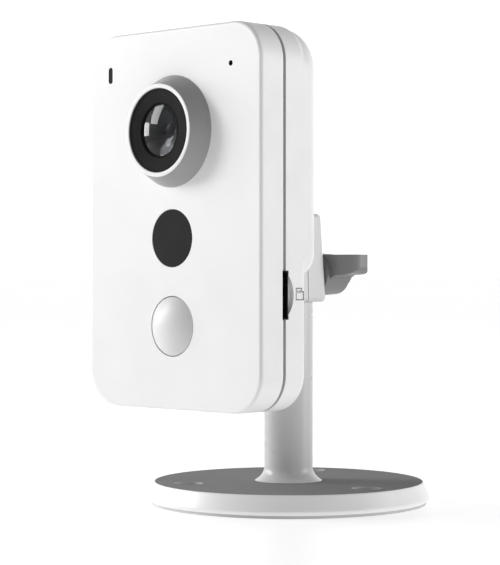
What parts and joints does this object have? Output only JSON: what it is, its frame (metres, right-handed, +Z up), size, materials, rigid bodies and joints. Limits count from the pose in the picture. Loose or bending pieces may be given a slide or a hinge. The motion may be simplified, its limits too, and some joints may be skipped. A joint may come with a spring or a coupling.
{
  "type": "cube security camera on table stand",
  "caption": "Upright box-shaped indoor security camera with a front lens and motion sensor, held by a clamped ball joint on a column with a round base.",
  "frame": {"origin": "centre of the underside of the round base, where it meets the table", "axes": "+Z up along the column, -Y the way the camera looks, +X towards the side with the memory card slot"},
  "size_m": [0.0782, 0.089, 0.1278],
  "materials": {
    "case_white": "fine satin moulded white plastic",
    "ring_white": "satin white plastic",
    "stand_white": "glossy white",
    "head_white": "satin white plastic",
    "nut_white": "satin plastic",
    "dome_white": "milky translucent plastic",
    "lens_black": "matt black plastic",
    "inner_black": "black plastic",
    "port_black": "black plastic",
    "window_black": "smooth infrared-passing black plastic",
    "pipe_dark": "smoked plastic",
    "lens_glass": "coated glass",
    "lamp_clear": "clear resin",
    "knob_grey": "satin grey plastic",
    "button_grey": "satin grey plastic",
    "cup_nylon": "nylon",
    "rubber_dark": "soft rubber",
    "pad_grey": "grey rubber sheet",
    "board_green": "green solder mask",
    "sensor_silver": "plated metal can",
    "screw_steel": "zinc-plated steel",
    "weight_steel": "sheet steel",
    "sink_aluminium": "extruded aluminium",
    "contact_brass": "plated brass"
  },
  "bodies": {
    "stand": {"base_disc": "stand_white", "base_weight": "weight_steel", "base_pad": "pad_grey", "column": "stand_white", "column_screw": "screw_steel", "column_washer": "screw_steel", "head_socket": "head_white", "head_screw": "screw_steel", "clamp_nut": "contact_brass"},
    "head_shell": {"head_clamp": "head_white", "knob_washer": "screw_steel"},
    "knob": {"wing_knob": "knob_grey", "clamp_screw": "screw_steel"},
    "ball_ring": {"ball_cup": "cup_nylon"},
    "ball": {"ball_stud": "screw_steel", "lock_nut": "nut_white", "stud_washer": "rubber_dark"},
    "camera": {"front_cover": "case_white", "rear_housing": "case_white", "case_screws": "screw_steel", "lens_ring": "ring_white", "lens_bezel": "lens_black", "lens_barrel": "lens_black", "lens_front_glass": "lens_glass", "lens_inner_glasses": "lens_glass", "lens_holder": "inner_black", "filter_coil": "inner_black", "image_sensor": "sensor_silver", "ir_window": "window_black", "ir_leds": "lamp_clear", "light_sensor": "inner_black", "pir_dome": "dome_white", "pir_sensor": "sensor_silver", "light_pipe": "pipe_dark", "status_led": "lamp_clear", "microphone": "sensor_silver", "mic_boot": "rubber_dark", "front_board": "board_green", "main_board": "board_green", "io_board": "board_green", "board_screws": "screw_steel", "board_chips": "inner_black", "thermal_pad": "pad_grey", "heat_sink": "sink_aluminium", "board_connector": "inner_black", "link_header": "inner_black", "wifi_antenna": "board_green", "card_socket": "port_black", "ethernet_jack": "port_black", "ethernet_contacts": "contact_brass", "power_jack": "port_black", "power_pin": "contact_brass", "reset_switch": "inner_black", "speaker": "inner_black", "speaker_gasket": "rubber_dark", "threaded_insert": "contact_brass"},
    "reset_key": {"reset_button": "button_grey"},
    "day_night_filter": {"filter_carriage": "inner_black", "filter_glasses": "lens_glass"}
  },
  "joints": [
    {"name": "ball_pan", "type": "hinge", "parent": "stand", "child": "ball_ring", "pos_m": [0, 0, 0.0726], "axis": [0, 0, 1], "range_deg": [-27, 27]},
    {"name": "ball_tilt", "type": "hinge", "parent": "ball_ring", "child": "ball", "pos_m": [0, 0, 0.0726], "axis": [1, 0, 0], "range_deg": [-27, 20]},
    {"name": "camera_roll", "type": "hinge", "parent": "ball", "child": "camera", "pos_m": [0, -0.0216, 0.0726], "axis": [0, -1, 0], "range_deg": [-90, 90]},
    {"name": "knob_turn", "type": "hinge", "parent": "head_shell", "child": "knob", "pos_m": [0, 0.0093, 0.0633], "axis": [0, 1, 0], "range_deg": [0, 270]},
    {"name": "clamp_open", "type": "slide", "parent": "stand", "child": "head_shell", "axis": [0, 1, 0], "range_m": [0, 0.000375]},
    {"name": "reset_press", "type": "slide", "parent": "camera", "child": "reset_key", "axis": [0, -1, 0], "range_m": [0, 0.0004], "stiffness_N_per_m": 2000},
    {"name": "filter_slide", "type": "slide", "parent": "camera", "child": "day_night_filter", "axis": [1, 0, 0], "range_m": [0, 0.0062]}
  ],
  "couplings": [
    {"joint": "knob_turn", "follows": "clamp_open", "rad_per_m": 12566}
  ]
}
